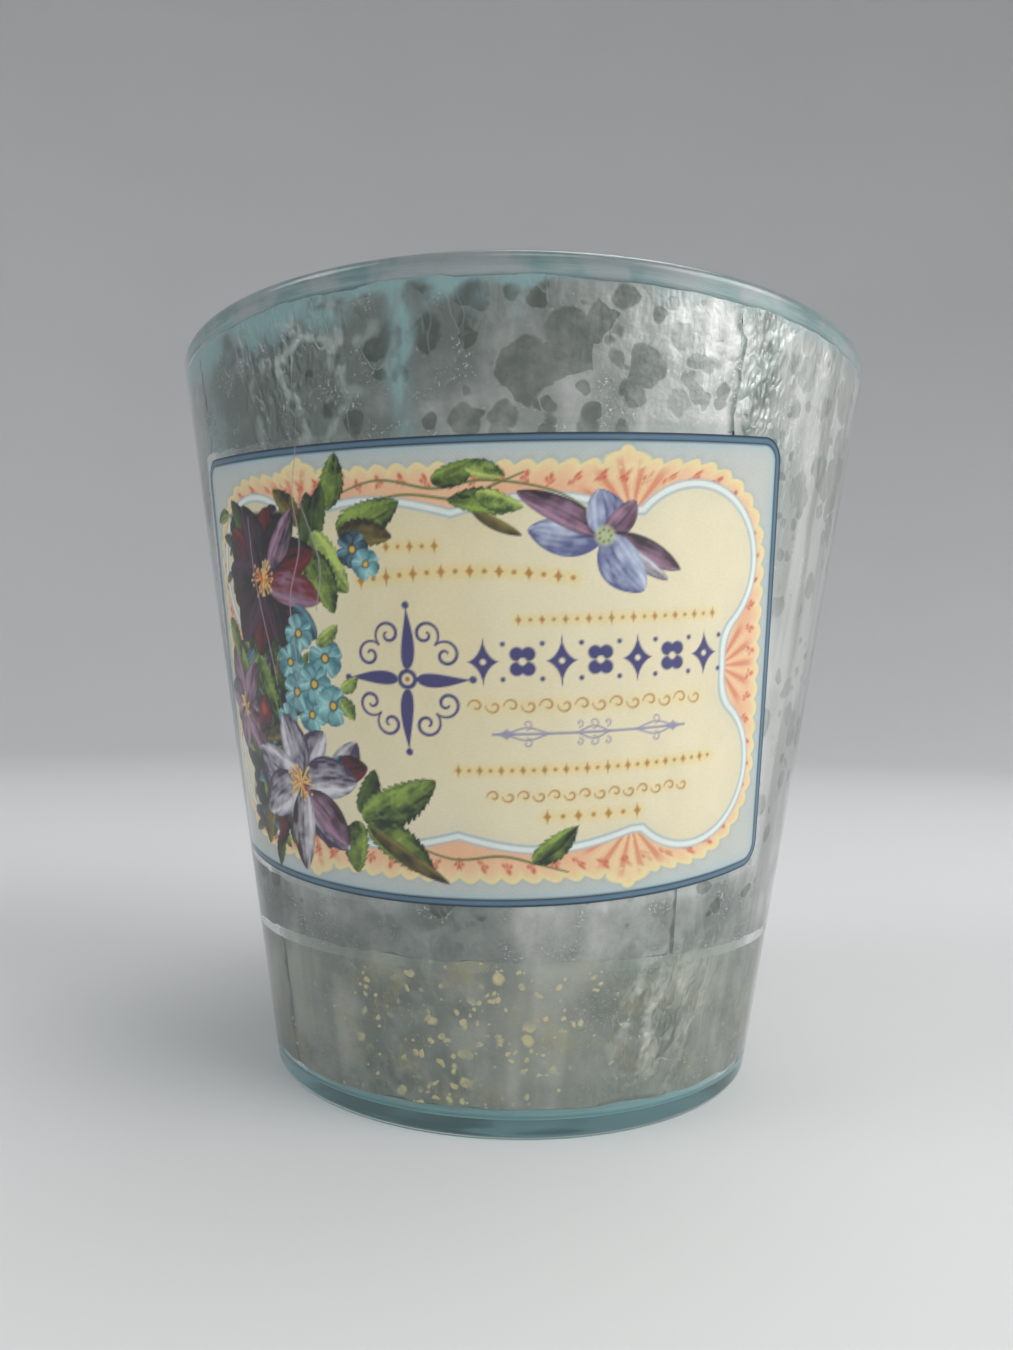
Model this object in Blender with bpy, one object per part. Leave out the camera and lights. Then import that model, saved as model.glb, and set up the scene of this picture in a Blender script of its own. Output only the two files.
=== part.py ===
"""Empty candle jar: a tapered glass tumbler decorated on the inside.

A printed paper label is glued face out to the inner wall. Silver leaf is laid behind it, as a
row of whole square sheets that hang from just under the rim and a row of short strips below
them. A coat of paint lines the well behind the leaf.

Metres, +Z up. The jar stands on z = 0 with its axis on Z, and its label faces -Y.
Angles round the jar are counted from -Y, and grow towards +X.
"""

import math

import bmesh
import bpy

# Driving dimensions of the glass.
HEIGHT = 0.105
RIM_DIAMETER = 0.1065
FOOT_DIAMETER = 0.0734
WALL = 0.0025
BASE_THICKNESS = 0.0024
HEEL_RADIUS = 0.0015
WELL_FILLET = 0.0010
ROUND_STEPS = 96
LIP_STEPS = 4
CORNER_STEPS = 4

# The films on the inner wall, as depths behind the inner face of the glass.
FILM_GAP = 0.0003
LABEL_THICKNESS = 0.0002
LEAF_THICKNESS = 0.0002
PAINT_THICKNESS = 0.0005
LABEL_DEPTH = FILM_GAP
LEAF_DEPTH = LABEL_DEPTH + LABEL_THICKNESS + FILM_GAP
PAINT_DEPTH = LEAF_DEPTH + LEAF_THICKNESS + FILM_GAP

# The printed label: a flat sheet with round corners, pasted a little askew.
LABEL_WIDTH = 0.0864
LABEL_HEIGHT = 0.0564
LABEL_CENTRE = 0.0577
LABEL_CORNER = 0.0030
LABEL_SKEW = math.radians(0.5)
LABEL_COLUMNS = 24
LABEL_ROWS = 6

# Silver leaf comes in square sheets. The upper row is whole sheets, the lower row is strips.
LEAF_SHEET = 0.080
LEAF_BELOW_RIM = 0.0030
UPPER_SHEETS = 4
UPPER_FIRST_SEAM = math.radians(41.0)
LOWER_STRIPS = 3
LOWER_FIRST_SEAM = math.radians(75.0)

# Worked out from the above.
RIM_RADIUS = RIM_DIAMETER / 2
FOOT_RADIUS = FOOT_DIAMETER / 2
SLOPE = (RIM_RADIUS - FOOT_RADIUS) / HEIGHT
TAPER = math.atan(SLOPE)
LEAF_TOP = HEIGHT - LEAF_BELOW_RIM
LEAF_JOINT = LEAF_TOP - LEAF_SHEET * math.cos(TAPER)
LEAF_BOTTOM = BASE_THICKNESS + WELL_FILLET + PAINT_DEPTH
PAINT_TOP = HEIGHT - WALL / 2 - FILM_GAP
FULL_TURN = 2 * math.pi
STEP_ANGLE = FULL_TURN / ROUND_STEPS


def clear_scene():
    """Remove every object, so that only the jar is left."""
    for thing in list(bpy.data.objects):
        bpy.data.objects.remove(thing, do_unlink=True)


def make_material(name, colour, roughness, metallic=0.0, transmission=0.0):
    """A Principled material with plain values."""
    material = bpy.data.materials.new(name)
    material.use_nodes = True
    shader = material.node_tree.nodes["Principled BSDF"]
    shader.inputs["Base Color"].default_value = (*colour, 1.0)
    shader.inputs["Roughness"].default_value = roughness
    shader.inputs["Metallic"].default_value = metallic
    shader.inputs["Transmission Weight"].default_value = transmission
    material.diffuse_color = (*colour, 1.0)
    return material


def new_object(name, mesh, material):
    """Put a mesh into the scene under the given name, with one material."""
    thing = bpy.data.objects.new(name, mesh)
    bpy.context.scene.collection.objects.link(thing)
    mesh.materials.append(material)
    return thing


def outer_radius(height):
    """Radius of the glass's outer cone at a height."""
    return FOOT_RADIUS + SLOPE * height


def inner_radius(height, depth=0.0):
    """Radius of a cone that lies the given depth behind the inner face of the glass."""
    return outer_radius(height) - (WALL + depth) / math.cos(TAPER)


def arc(centre, radius, start, end, steps):
    """Points of a round corner in the (radius, height) plane, both ends included."""
    turns = [start + (end - start) * i / steps for i in range(steps + 1)]
    return [(centre[0] + radius * math.cos(a), centre[1] + radius * math.sin(a)) for a in turns]


def turned_object(name, profile, material):
    """Turn a (radius, height) profile about Z. It runs down its outer side."""
    mesh = bpy.data.meshes.new(name)
    points = [(radius, 0.0, height) for radius, height in profile]
    edges = [(i, i + 1) for i in range(len(points) - 1)]
    mesh.from_pydata(points, edges, [])
    thing = new_object(name, mesh, material)
    screw = thing.modifiers.new("turn", "SCREW")
    screw.steps = ROUND_STEPS
    screw.render_steps = ROUND_STEPS
    screw.use_merge_vertices = True
    screw.merge_threshold = 0.00001
    screw.use_smooth_shade = True
    return thing


def well_corner(depth):
    """Round corner between the well's floor and wall, from the floor outwards and up."""
    radius = max(WELL_FILLET - depth, WELL_FILLET / 4)
    level = BASE_THICKNESS + depth + radius
    centre = (inner_radius(level, depth) - radius / math.cos(TAPER), level)
    return arc(centre, radius, -math.pi / 2, -TAPER, CORNER_STEPS)


def glass_profile():
    """From the well's floor up the inner wall, over the lip and down to the foot."""
    lip = WALL / 2
    lip_level = HEIGHT - lip
    lip_centre = (outer_radius(lip_level) - lip / math.cos(TAPER), lip_level)
    heel_centre = (outer_radius(HEEL_RADIUS) - HEEL_RADIUS / math.cos(TAPER), HEEL_RADIUS)
    points = [(0.0, BASE_THICKNESS)]
    points += well_corner(0.0)
    points += arc(lip_centre, lip, math.pi - TAPER, math.pi / 2, LIP_STEPS)
    points += arc(lip_centre, lip, math.pi / 2, -TAPER, LIP_STEPS)[1:]
    points += arc(heel_centre, HEEL_RADIUS, -TAPER, -math.pi / 2, CORNER_STEPS)
    points.append((0.0, 0.0))
    return points


def paint_profile():
    """The paint's cup: its open face first, then its rim and the face against the leaf."""
    back = PAINT_DEPTH + PAINT_THICKNESS
    points = [(0.0, BASE_THICKNESS + back)]
    points += well_corner(back)
    points.append((inner_radius(PAINT_TOP, back), PAINT_TOP))
    points.append((inner_radius(PAINT_TOP, PAINT_DEPTH), PAINT_TOP))
    points += reversed(well_corner(PAINT_DEPTH))
    points.append((0.0, BASE_THICKNESS + PAINT_DEPTH))
    return points


def on_wall(angle, height, depth):
    """Point on the inner wall, at an angle from the front and a depth behind the glass."""
    radius = inner_radius(height, depth)
    return (radius * math.sin(angle), -radius * math.cos(angle), height)


def on_label(x, y, depth):
    """Point of the label's flat sheet (x right, y up from its middle) once it is wrapped."""
    turned_x = x * math.cos(LABEL_SKEW) - y * math.sin(LABEL_SKEW)
    turned_y = x * math.sin(LABEL_SKEW) + y * math.cos(LABEL_SKEW)
    apex_distance = inner_radius(LABEL_CENTRE) / math.sin(TAPER)
    slant = math.hypot(turned_x, apex_distance + turned_y)
    turn = math.atan2(turned_x, apex_distance + turned_y)
    height = LABEL_CENTRE + (slant - apex_distance) * math.cos(TAPER)
    return on_wall(turn / math.sin(TAPER), height, depth)


def film_object(name, outline, x_cuts, y_cuts, place, front, back, material):
    """A thin sheet: a flat outline, cut into facets and wrapped at two depths."""
    flat = bmesh.new()
    flat.faces.new([flat.verts.new((x, y, 0.0)) for x, y in outline])
    cuts = [((x, 0.0, 0.0), (1.0, 0.0, 0.0)) for x in x_cuts]
    cuts += [((0.0, y, 0.0), (0.0, 1.0, 0.0)) for y in y_cuts]
    for point, normal in cuts:
        everything = flat.verts[:] + flat.edges[:] + flat.faces[:]
        bmesh.ops.bisect_plane(flat, geom=everything, dist=1e-6, plane_co=point, plane_no=normal)
    bmesh.ops.triangulate(flat, faces=flat.faces[:])

    solid = bmesh.new()
    fronts = {v: solid.verts.new(place(v.co.x, v.co.y, front)) for v in flat.verts}
    backs = {v: solid.verts.new(place(v.co.x, v.co.y, back)) for v in flat.verts}
    for face in flat.faces:
        solid.faces.new([fronts[v] for v in face.verts])
        solid.faces.new([backs[v] for v in reversed(face.verts)])
    for edge in flat.edges:
        if edge.is_boundary:
            first, second = edge.verts
            solid.faces.new([fronts[first], fronts[second], backs[second], backs[first]])
    bmesh.ops.recalc_face_normals(solid, faces=solid.faces[:])
    mesh = bpy.data.meshes.new(name)
    solid.to_mesh(mesh)
    solid.free()
    flat.free()
    thing = new_object(name, mesh, material)
    mesh.shade_smooth()
    mesh.set_sharp_from_angle(angle=math.radians(30.0))
    return thing


def spread(low, high, count):
    """Evenly spaced values strictly between two ends."""
    return [low + (high - low) * i / count for i in range(1, count)]


def label_outline():
    """The label's rectangle with its round corners, anticlockwise."""
    across = LABEL_WIDTH / 2 - LABEL_CORNER
    up = LABEL_HEIGHT / 2 - LABEL_CORNER
    points = []
    for quarter, (side, top) in enumerate(((1, 1), (-1, 1), (-1, -1), (1, -1))):
        start = quarter * math.pi / 2
        centre = (side * across, top * up)
        points += arc(centre, LABEL_CORNER, start, start + math.pi / 2, CORNER_STEPS)
    return points


def make_label(material):
    """The printed paper label."""
    x_cuts = spread(-LABEL_WIDTH / 2, LABEL_WIDTH / 2, LABEL_COLUMNS)
    y_cuts = spread(-LABEL_HEIGHT / 2, LABEL_HEIGHT / 2, LABEL_ROWS)
    back = LABEL_DEPTH + LABEL_THICKNESS
    film_object(
        "label_sheet", label_outline(), x_cuts, y_cuts, on_label, LABEL_DEPTH, back, material
    )


def make_leaf_row(name, count, first_seam, bottom, top, material):
    """A row of leaf sheets round the wall, with a narrow seam between neighbours."""
    half_seam = FILM_GAP / 2 / inner_radius(bottom)
    pitch = FULL_TURN / count
    for number in range(count):
        start = first_seam + number * pitch + half_seam
        end = start + pitch - 2 * half_seam
        first_line = math.ceil(start / STEP_ANGLE)
        last_line = math.floor(end / STEP_ANGLE)
        cuts = [line * STEP_ANGLE for line in range(first_line, last_line + 1)]
        film_object(
            f"{name}_{number + 1}",
            [(start, bottom), (end, bottom), (end, top), (start, top)],
            cuts,
            [],
            on_wall,
            LEAF_DEPTH,
            LEAF_DEPTH + LEAF_THICKNESS,
            material,
        )


def build():
    """Make every piece of the jar."""
    clear_scene()
    glass = make_material("clear_glass", (0.80, 0.90, 0.89), 0.02, transmission=1.0)
    paper = make_material("printed_paper", (0.86, 0.80, 0.62), 0.45)
    upper_leaf = make_material("silver_leaf", (0.62, 0.64, 0.60), 0.30, metallic=1.0)
    lower_leaf = make_material("tarnished_leaf", (0.50, 0.52, 0.49), 0.35, metallic=1.0)
    paint = make_material("aqua_paint", (0.42, 0.62, 0.62), 0.55)

    turned_object("glass_tumbler", glass_profile(), glass)
    turned_object("backing_paint", paint_profile(), paint)
    make_label(paper)
    make_leaf_row("leaf_sheet", UPPER_SHEETS, UPPER_FIRST_SEAM, LEAF_JOINT, LEAF_TOP, upper_leaf)
    strip_top = LEAF_JOINT - FILM_GAP
    make_leaf_row(
        "leaf_strip", LOWER_STRIPS, LOWER_FIRST_SEAM, LEAF_BOTTOM, strip_top, lower_leaf
    )


build()
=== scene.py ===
import math

import bpy
import numpy as np
from mathutils import Matrix, Vector


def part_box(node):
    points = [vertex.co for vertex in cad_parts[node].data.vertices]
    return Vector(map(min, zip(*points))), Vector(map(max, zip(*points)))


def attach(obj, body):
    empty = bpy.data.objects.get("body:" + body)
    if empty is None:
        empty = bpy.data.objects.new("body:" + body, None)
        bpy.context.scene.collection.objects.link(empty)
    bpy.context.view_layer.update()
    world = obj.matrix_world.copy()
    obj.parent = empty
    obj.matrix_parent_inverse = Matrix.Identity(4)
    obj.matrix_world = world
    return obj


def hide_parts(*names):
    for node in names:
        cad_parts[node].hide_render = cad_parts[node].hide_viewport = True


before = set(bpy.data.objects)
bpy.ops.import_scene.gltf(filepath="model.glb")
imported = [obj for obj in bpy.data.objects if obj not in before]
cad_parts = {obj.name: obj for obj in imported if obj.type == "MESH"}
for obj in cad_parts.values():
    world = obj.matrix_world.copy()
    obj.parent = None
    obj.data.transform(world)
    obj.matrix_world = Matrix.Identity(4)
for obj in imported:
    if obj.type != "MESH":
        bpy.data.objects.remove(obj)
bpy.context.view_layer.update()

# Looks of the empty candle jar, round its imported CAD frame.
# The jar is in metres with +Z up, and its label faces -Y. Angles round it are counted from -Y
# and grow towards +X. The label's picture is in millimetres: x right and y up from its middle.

BODY = "root"
MM = 0.001
FULL_TURN = 2 * math.pi
SEED = 7

# ---------------------------------------------------------------- sizes

# Sizes of the CAD part. The label's are in millimetres, the others in metres.
WALL = 0.0025
BASE_THICKNESS = 0.0024
HEEL_RADIUS = 0.0015
WELL_FILLET = 0.0010
LABEL_WIDTH = 86.4
LABEL_HEIGHT = 56.4
LABEL_CORNER = 3.0
LABEL_CENTRE = 0.0577  # its height on the wall, in metres
LABEL_SKEW = math.radians(0.5)
LEAF_BELOW_RIM = 0.0030
LEAF_SHEET = 0.080


def outer_cone():
    """Foot radius at z = 0 and slope of the glass's outer wall, from its CAD node."""
    spots = np.array([v.co[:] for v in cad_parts["glass_tumbler"].data.vertices])
    radius = np.hypot(spots[:, 0], spots[:, 1])
    lip = np.argmax(radius)
    low = spots[:, 2] < BASE_THICKNESS
    heel_radius = radius[low].max()
    heel_height = spots[low][np.argmax(radius[low]), 2]
    slope = (radius[lip] - heel_radius) / (spots[lip, 2] - heel_height)
    return heel_radius - slope * heel_height, slope


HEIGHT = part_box("glass_tumbler")[1][2]
FOOT_RADIUS, SLOPE = outer_cone()
TAPER = math.atan(SLOPE)
LEAF_TOP = HEIGHT - LEAF_BELOW_RIM
LEAF_FRAY = 0.0007
LEAF_JOINT = LEAF_TOP - LEAF_SHEET * math.cos(TAPER)


def outer_radius(height):
    """Radius of the glass's outer cone at a height."""
    return FOOT_RADIUS + SLOPE * height


def inner_radius(height, depth=0.0):
    """Radius of a cone that lies the given depth behind the inner face of the glass."""
    return outer_radius(height) - (WALL + depth) / math.cos(TAPER)


def on_wall(angle, height, depth):
    """Points on the inner wall, at angles from the front and depths behind the glass."""
    radius = inner_radius(height, depth)
    return np.stack([radius * np.sin(angle), -radius * np.cos(angle), height], -1)


# The wall's cone rolled out flat: the label's middle is this far from its apex, in metres.
LABEL_APEX = inner_radius(LABEL_CENTRE) / math.sin(TAPER)


def turned(x, y, angle):
    """A flat place turned counterclockwise about the middle."""
    return x * math.cos(angle) - y * math.sin(angle), x * math.sin(angle) + y * math.cos(angle)


def label_flat(turn, height):
    """Places on the label's flat sheet, in millimetres, of points on the inner wall."""
    slant = LABEL_APEX + (height - LABEL_CENTRE) / math.cos(TAPER)
    x = slant * np.sin(turn * math.sin(TAPER)) / MM
    y = (slant * np.cos(turn * math.sin(TAPER)) - LABEL_APEX) / MM
    return turned(x, y, -LABEL_SKEW)


def label_place(x, y):
    """(angle, height) on the wall of points of the label's flat sheet, in millimetres."""
    x, y = turned(x, y, LABEL_SKEW)
    slant = np.hypot(x * MM, LABEL_APEX + y * MM)
    turn = np.arctan2(x * MM, LABEL_APEX + y * MM)
    return turn / math.sin(TAPER), LABEL_CENTRE + (slant - LABEL_APEX) * math.cos(TAPER)


# ---------------------------------------------------------------- numbers and noise


def tone(red, green, blue):
    """A screen colour, 0 to 255, as linear light."""
    screen = np.array([red, green, blue]) / 255
    return np.where(screen <= 0.04045, screen / 12.92, ((screen + 0.055) / 1.055) ** 2.4)


def smooth(low, high, value):
    """0 below low, 1 above high, and a smooth step between."""
    t = np.clip((value - low) / (high - low), 0, 1)
    return t * t * (3 - 2 * t)


NOISE_LAYERS = 16
NOISE_CELLS = 64
NOISE = np.random.default_rng(SEED).uniform(-1, 1, (NOISE_LAYERS, NOISE_CELLS, NOISE_CELLS))


def cloud(x, y, cell, layer=0):
    """Smooth noise from -1 to 1 whose lumps are about one cell across."""
    u, v = x / cell, y / cell
    i, j = np.floor(u).astype(int), np.floor(v).astype(int)
    a, b = smooth(0, 1, u - i), smooth(0, 1, v - j)
    grid = NOISE[layer % NOISE_LAYERS]
    i, right = i % NOISE_CELLS, (i + 1) % NOISE_CELLS
    j, above = j % NOISE_CELLS, (j + 1) % NOISE_CELLS
    low = grid[j, i] * (1 - a) + grid[j, right] * a
    high = grid[above, i] * (1 - a) + grid[above, right] * a
    return low * (1 - b) + high * b


def clouds(x, y, cell, layer=0, octaves=3):
    """Noise with finer noise laid on it."""
    total = 0.0
    for octave in range(octaves):
        total = total + cloud(x, y, cell / 2**octave, layer + octave) / 2 ** (octave + 1)
    return total


def ink(distance, blur=0.11):
    """How much of a shape covers a point: 1 inside and 0 outside, with a soft printed edge."""
    return np.clip(0.5 - distance / (2 * blur), 0, 1)


# ---------------------------------------------------------------- the label's picture

CREAM = tone(240, 224, 190)
CREAM_WARM = tone(236, 214, 166)
GROUND = tone(200, 196, 190)
GLOW = tone(150, 188, 206)
STEEL = tone(84, 118, 142)
NAVY = tone(24, 38, 56)
PEACH = tone(246, 200, 158)
SALMON = tone(238, 162, 128)
YELLOW_EDGE = tone(244, 222, 166)
RED_ORANGE = tone(214, 92, 62)
PALE_BLUE = tone(172, 188, 200)
WHITE = tone(236, 238, 232)
INDIGO = tone(62, 58, 118)
LAVENDER = tone(158, 150, 176)
GOLD = tone(190, 128, 44)
GOLD_GLOW = tone(240, 206, 110)
# Petals and leaves have a dark tone and a light one.
BURGUNDY = (tone(14, 4, 10), tone(118, 16, 30))
NIGHT = (tone(8, 6, 14), tone(76, 40, 66))
MAUVE = (tone(66, 48, 80), tone(208, 200, 208))
PLUM = (tone(46, 18, 40), tone(156, 116, 142))
SKY_PETAL = (tone(84, 88, 140), tone(186, 192, 216))
TEAL_PETAL = (tone(58, 118, 132), tone(150, 200, 204))
DEEP_TEAL = (tone(14, 32, 50), tone(92, 136, 156))
LEAF_GREEN = (tone(18, 42, 12), tone(130, 154, 62))
LEAF_DARK = (tone(6, 12, 5), tone(68, 92, 34))
LEAF_FRESH = (tone(44, 82, 26), tone(176, 192, 96))
LEAF_BROWN = (tone(48, 34, 18), tone(120, 106, 46))
# Threads and their tips.
STAMEN = (tone(226, 140, 60), tone(240, 204, 132), tone(200, 70, 40))
OLIVE = tone(110, 120, 62)
CREASE = tone(170, 160, 164)
BAND_SHADOW = tone(150, 164, 170)
CREAM_EDGE = tone(206, 202, 184)
POLLEN = tone(236, 190, 70)
PALE_EYE = tone(190, 196, 150)

# The plaque in the middle of the picture: a panel with a round lobe at each corner.
PANEL_HALF_WIDTH = 33.4
PANEL_HALF_HEIGHT = 18.7
LOBE_X = 29.5
LOBE_Y = 12.9
LOBE_RADIUS = 8.9
CUSP_X = 21.0
TOP_WAVE = 1.8
# The scalloped band round it.
BAND = (40.4, 24.6, 11.5)  # half width, half height and corner
SCALLOP_PITCH = 2.5
MOTIF_PITCH = 3.1
SCALLOP_HEIGHT = 0.7
FINIAL_X = 20.6
FINIAL_HEIGHT = 24.9


# Cells of the picture's grid.
CELLS_ACROSS, CELLS_UP = ((480, 320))


class Picture:
    """A printed picture: one colour for each point of a fine grid."""

    def __init__(self, x_line, y_line, x, y):
        self.x_line, self.y_line = x_line, y_line
        self.x, self.y = x, y
        self.colour = np.ones(x.shape + (3,)) * GROUND
        self.hatch = np.ones(x.shape)

    def near(self, x, y, reach):
        """The part of the grid round a point, as a pair of slices."""
        columns = np.searchsorted(self.x_line, [x - reach, x + reach])
        rows = np.searchsorted(self.y_line, [y - reach, y + reach])
        return slice(*rows), slice(*columns)

    def lay(self, cover, colour, where=...):
        """Lay ink of one colour, or of one colour per point, over the grid or a part of it."""
        part = self.colour[where]
        part += cover[..., None] * (colour - part)
        self.hatch[where] *= 1 - cover


def plaque_distance(x, y):
    """Roughly how far outside the plaque's edge a point lies, in mm."""
    x, y = np.abs(x), np.abs(y)
    crest = PANEL_HALF_HEIGHT + TOP_WAVE * np.where(x < CUSP_X, np.sin(math.pi * x / CUSP_X), 0)
    panel = np.maximum(x - PANEL_HALF_WIDTH, y - crest)
    lobe = np.hypot(x - LOBE_X, y - LOBE_Y) - LOBE_RADIUS
    blend = 0.15 + 3.2 * np.clip(1 - y / LOBE_Y, 0, 1)
    mix = np.clip(0.5 + (panel - lobe) / (2 * blend), 0, 1)
    return panel * (1 - mix) + lobe * mix - blend * mix * (1 - mix)


def round_box(x, y, half_width, half_height, corner):
    """Distance outside a rectangle with round corners."""
    across = np.abs(x) - half_width + corner
    up = np.abs(y) - half_height + corner
    outside = np.hypot(np.maximum(across, 0), np.maximum(up, 0))
    return outside + np.minimum(np.maximum(across, up), 0) - corner


def run_round(x, y):
    """How far round the scalloped band a point lies, in mm, from the right-hand side."""
    turn = np.linspace(-math.pi, math.pi, 721)
    reach = np.full(turn.shape, 20.0)
    for _ in range(24):
        reach = reach - round_box(reach * np.cos(turn), reach * np.sin(turn), *BAND)
    edge_x, edge_y = reach * np.cos(turn), reach * np.sin(turn)
    length = np.concatenate([[0], np.cumsum(np.hypot(np.diff(edge_x), np.diff(edge_y)))])
    return np.interp(np.arctan2(y, x), turn, length), length[-1]


def paint_ground(picture):
    """Pale ground, a darker line round the edge and a glow inside it."""
    x, y = picture.x, picture.y
    edge = -round_box(x, y, LABEL_WIDTH / 2, LABEL_HEIGHT / 2, LABEL_CORNER)
    age = clouds(x, y, 16.0, 3)
    picture.colour *= (1 + 0.05 * age)[..., None]
    picture.lay(0.85 * np.exp(-np.maximum(edge - 0.9, 0) / 0.75), GLOW)
    picture.lay(ink(edge - 1.05, 0.08), NAVY)
    picture.lay(ink(edge - 0.78, 0.1), STEEL)
    picture.lay(ink(edge - 0.24, 0.08), NAVY)


def paint_band(picture):
    """The scalloped peach band with its little red motifs and fans."""
    x, y = picture.x, picture.y
    run, total = run_round(x, y)
    beat = run / total * round(total / SCALLOP_PITCH)
    outer = round_box(x, y, *BAND)
    outer = outer - SCALLOP_HEIGHT * np.abs(np.sin(math.pi * beat))
    away_x, away_y = np.abs(x) - FINIAL_X, np.abs(y) - FINIAL_HEIGHT
    finial = (np.hypot(away_x / 3.0, away_y / 1.3) - 1) * 1.3
    knob = np.hypot(away_x, away_y - 0.9) - 1.0
    outer = np.minimum(outer, np.minimum(finial, knob))
    inner = plaque_distance(x, y)
    picture.lay(0.55 * np.exp(-np.maximum(outer, 0) / 0.35), BAND_SHADOW)
    depth = np.clip(-outer / 3.2, 0, 1)
    wash = 0.5 + 0.5 * clouds(x, y, 9.0, 5)
    colour = YELLOW_EDGE + (PEACH - YELLOW_EDGE) * smooth(0.0, 0.5, depth)[..., None]
    colour = colour + (SALMON - colour) * (smooth(0.35, 1.0, depth) * wash * 0.75)[..., None]
    picture.lay(ink(outer, 0.12), colour)

    # Rows of three dots on a stalk.
    beat = run / total * round(total / MOTIF_PITCH)
    side = (beat % 1 - 0.5) * MOTIF_PITCH
    rise = -outer - 1.9
    three = np.hypot(side, (rise + 0.35) * 0.8) - 0.32
    three = np.minimum(three, np.hypot(np.abs(side) - 0.42, rise - 0.25) - 0.26)
    stalk = np.maximum(np.abs(side) - 0.12, np.abs(rise) - 0.75)
    motif = np.minimum(three, stalk)
    strength = 0.9 + 0.1 * cloud(x, y, 5.0, 6)
    picture.lay(ink(motif, 0.13) * strength * smooth(0.4, 1.0, inner), RED_ORANGE)

    for fan_x, fan_y, reach in ((CUSP_X, PANEL_HALF_HEIGHT, 6.5), (PANEL_HALF_WIDTH, 0.0, 6.0)):
        dx, dy = np.abs(x) - fan_x, np.abs(y) - fan_y
        far = np.hypot(dx, dy)
        ray = np.cos(np.arctan2(dy, dx) * 14)
        inside = ink(far - reach, 0.8) * smooth(0.8, 1.4, inner) * ink(outer + 0.6, 0.2)
        picture.lay(inside * smooth(0.1, 0.9, ray) * 0.55, RED_ORANGE)
        picture.lay(inside * smooth(0.2, 0.9, -ray) * 0.45, YELLOW_EDGE)


def paint_plaque(picture):
    """The cream plaque with its double pale outline."""
    x, y = picture.x, picture.y
    inner = plaque_distance(x, y)
    picture.lay(ink(inner - 1.15, 0.14), PALE_BLUE)
    picture.lay(ink(inner - 0.95, 0.12), WHITE)
    picture.lay(ink(inner - 0.30, 0.12), PALE_BLUE)
    picture.lay(ink(inner, 0.12), CREAM)
    warm = smooth(-0.1, 0.5, clouds(x, y, 22.0, 8)) * 0.5
    picture.lay(ink(inner, 0.12) * warm, CREAM_WARM)
    picture.lay(ink(inner, 0.5) * np.exp(np.minimum(inner, 0) / 1.2) * 0.3, CREAM_EDGE)


def petal(picture, root, tip, width, tones, point=(0.6, 0.7), side=1.0, veins=0, teeth=0.0):
    """A petal or leaf from root to tip, lit from one side, with a middle vein."""
    root, tip = np.array(root, float), np.array(tip, float)
    axis = tip - root
    length = np.hypot(*axis)
    where = picture.near(*((root + tip) / 2), length / 2 + width / 2 + 1)
    dx, dy = picture.x[where] - root[0], picture.y[where] - root[1]
    along = (dx * axis[0] + dy * axis[1]) / length
    across = (dy * axis[0] - dx * axis[1]) / length
    across = across + width * 0.10 * side * np.sin(math.pi * along / length)
    u = np.clip(along / length, 1e-4, 1 - 1e-4)
    swell, taper = point
    peak = swell / (swell + taper)
    bulge = u**swell * (1 - u) ** taper / (peak**swell * (1 - peak) ** taper)
    half = width / 2 * bulge * (1 - teeth * (u * length / 0.9 % 1))
    distance = np.maximum(np.abs(across) - half, np.maximum(-along, along - length))
    t = np.clip(across / np.maximum(half, 0.05), -1, 1)

    # It is lit from one side, streaked and mottled, with a dark vein and a dark rim.
    streak = cloud(along * 0.25, across, 0.35, int(abs(root[0] * 7)))
    mottle = clouds(picture.x[where], picture.y[where], 1.5, int(abs(tip[1] * 5)))
    light = 0.44 + 0.42 * t * side + 0.34 * streak + 0.55 * mottle + 0.16 * np.sin(u * 5 - 0.6)
    light = light - 0.34 * np.exp(-((t / 0.09) ** 2)) - 0.40 * smooth(0.78, 1.0, np.abs(t))
    light = light + 0.45 * smooth(0.40, 0.62, t * side) * (1 - smooth(0.62, 0.84, t * side))
    if veins:
        rib = np.cos(FULL_TURN * (u * veins - 0.55 * np.abs(t)))
        light = light + 0.22 * smooth(0.75, 1.0, rib) - 0.06
        light = light + 0.5 * np.exp(-((t / 0.06) ** 2))
    light = np.clip(light, 0, 1.3)[..., None]
    picture.lay(ink(distance, 0.09), tones[0] + (tones[1] - tones[0]) * light, where)


def leaf(picture, root, tip, width, tones=LEAF_GREEN, side=1.0):
    """A toothed leaf with side veins."""
    petal(picture, root, tip, width, tones, (0.55, 0.75), side, veins=5, teeth=0.17)


def away(centre, reach, angle):
    """The place at a reach and an angle, in radians, from another."""
    return centre[0] + reach * math.cos(angle), centre[1] + reach * math.sin(angle)


def dot(picture, x, y, radius, colour, strength=1.0, blur=0.12):
    """A round spot of ink."""
    where = picture.near(x, y, radius + 4 * blur)
    distance = np.hypot(picture.x[where] - x, picture.y[where] - y) - radius
    picture.lay(ink(distance, blur) * strength, colour, where)


def bloom(picture, centre, reaches, start, width, tones):
    """Petals round a centre, one for each reach, starting at an angle in degrees."""
    for number, reach in enumerate(reaches):
        angle = math.radians(start + number * 360 / len(reaches))
        root, tip = away(centre, 0.2, angle), away(centre, reach, angle)
        across = width * (0.8 + 0.06 * (number % 4))
        petal(picture, root, tip, across, tones, side=1 if number % 2 else -1)


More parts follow.
